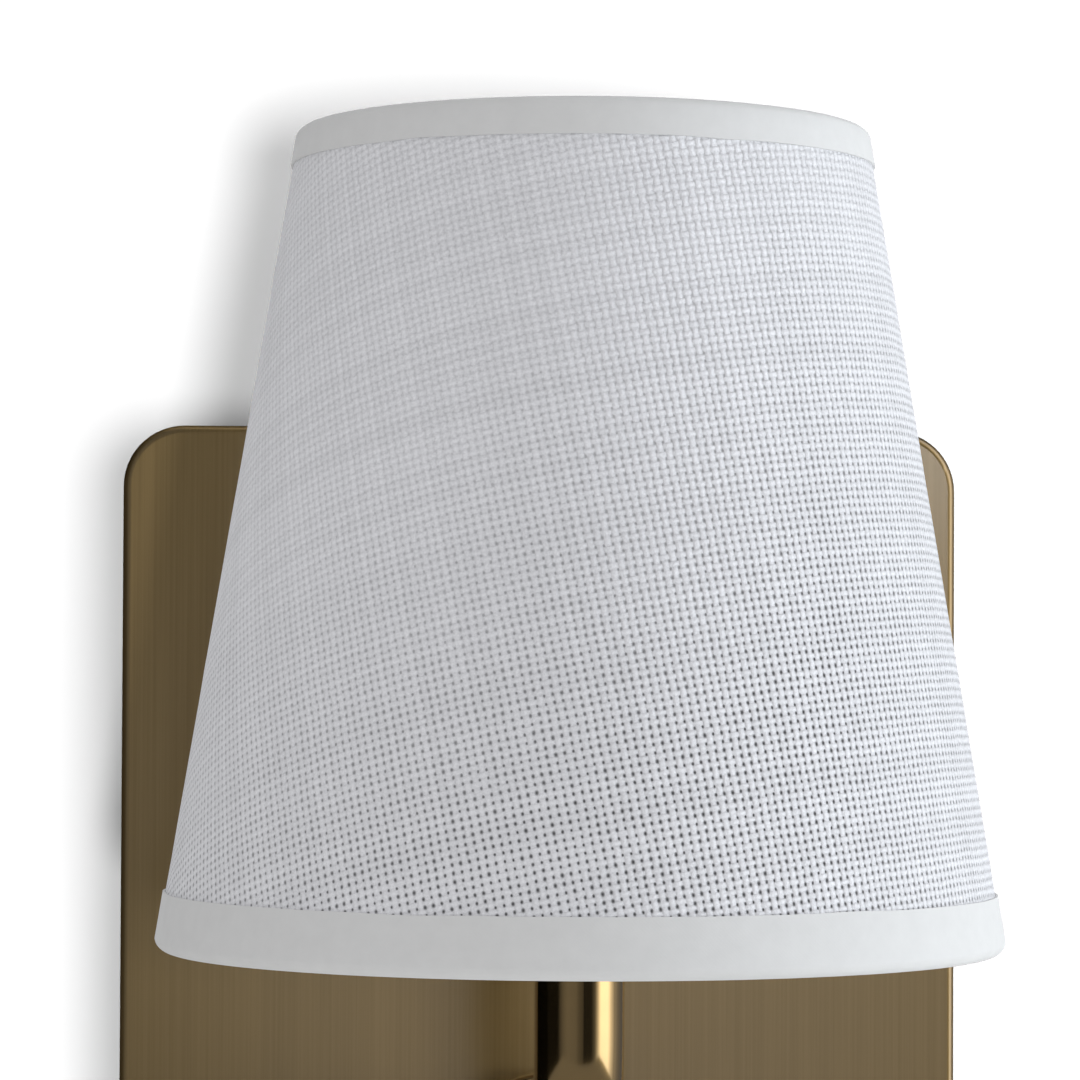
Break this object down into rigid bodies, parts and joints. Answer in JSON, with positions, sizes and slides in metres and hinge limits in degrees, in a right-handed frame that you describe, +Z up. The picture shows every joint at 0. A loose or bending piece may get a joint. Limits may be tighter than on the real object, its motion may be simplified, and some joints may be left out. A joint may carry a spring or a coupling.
{
  "type": "fabric shade wall light",
  "caption": "Wall light with a rounded rectangular backplate, a bent tube arm and a round tapered cloth shade, open at both ends, over a screw-in bulb.",
  "frame": {"origin": "midway between the two wall screws, on the wall's surface", "axes": "+X to the viewer's right, +Y into the wall, +Z up"},
  "size_m": [0.165, 0.182, 0.2305],
  "materials": {
    "zinc_plated_steel": "zinc plated, satin",
    "brushed_brass": "antique brass, brushed up and down, lacquered",
    "polished_brass": "antique brass, polished, lacquered",
    "bare_brass": "turned, bare",
    "white_thermoplastic": "moulded",
    "ivory_ceramic": "glazed steatite",
    "white_open_weave": "open basket weave",
    "shade_lining": "translucent laminate",
    "white_tape": "fine plain weave tape",
    "white_enamelled_wire": "white epoxy coat",
    "solder": "tinned",
    "black_glass": "moulded glass",
    "nickel_plated_cap": "rolled thread",
    "clear_glass": "clear",
    "filament_steel": "drawn wire",
    "yellow_phosphor": "silicone with phosphor",
    "natural_nylon": "moulded, translucent",
    "tinned_copper": "stamped",
    "brown_insulation": "extruded",
    "blue_insulation": "extruded",
    "earth_insulation": "extruded, green with a yellow stripe"
  },
  "bodies": {
    "fixture": {"wall_bracket": "zinc_plated_steel", "backplate": "brushed_brass", "cover_screws": "polished_brass", "arm_collar": "polished_brass", "arm_tube": "polished_brass", "inlet_bush": "bare_brass", "plate_nipple": "zinc_plated_steel", "arm_washer": "zinc_plated_steel", "arm_nut": "bare_brass", "outlet_bush": "bare_brass", "holder_nipple": "zinc_plated_steel", "holder_cap": "white_thermoplastic", "holder_skirt": "white_thermoplastic", "holder_insert": "ivory_ceramic", "holder_terminals": "zinc_plated_steel", "screw_shell": "bare_brass", "centre_contact": "bare_brass", "terminal_block": "natural_nylon", "terminal_sleeves": "bare_brass", "terminal_screws": "zinc_plated_steel", "block_screw": "zinc_plated_steel", "earth_tag": "tinned_copper", "earth_screw": "bare_brass", "live_lead": "brown_insulation", "neutral_lead": "blue_insulation", "earth_lead": "earth_insulation"},
    "shade": {"shade_cover": "white_open_weave", "shade_liner": "shade_lining", "bottom_trim": "white_tape", "top_trim": "white_tape", "bottom_ring_wire": "white_enamelled_wire", "top_ring_wire": "white_enamelled_wire", "carrier_ring": "white_enamelled_wire", "spider_arms": "white_enamelled_wire"},
    "clamp_ring": {"shade_ring": "white_thermoplastic"},
    "bulb": {"bulb_contact": "solder", "bulb_insulator": "black_glass", "bulb_cap": "nickel_plated_cap", "bulb_glass": "clear_glass", "bulb_stem": "clear_glass", "filament_mount": "filament_steel", "led_filaments": "yellow_phosphor"}
  },
  "joints": [
    {"name": "shade_lift", "type": "slide", "parent": "fixture", "child": "shade", "axis": [0, 0, 1], "range_m": [0, 0.135]},
    {"name": "ring_turn", "type": "hinge", "parent": "shade", "child": "clamp_ring", "pos_m": [0, -0.107, 0.0222], "axis": [0, 0, 1], "range_deg": [0, 1080]},
    {"name": "bulb_lift", "type": "slide", "parent": "fixture", "child": "bulb", "axis": [0, 0, 1], "range_m": [0, 0.12]}
  ]
}
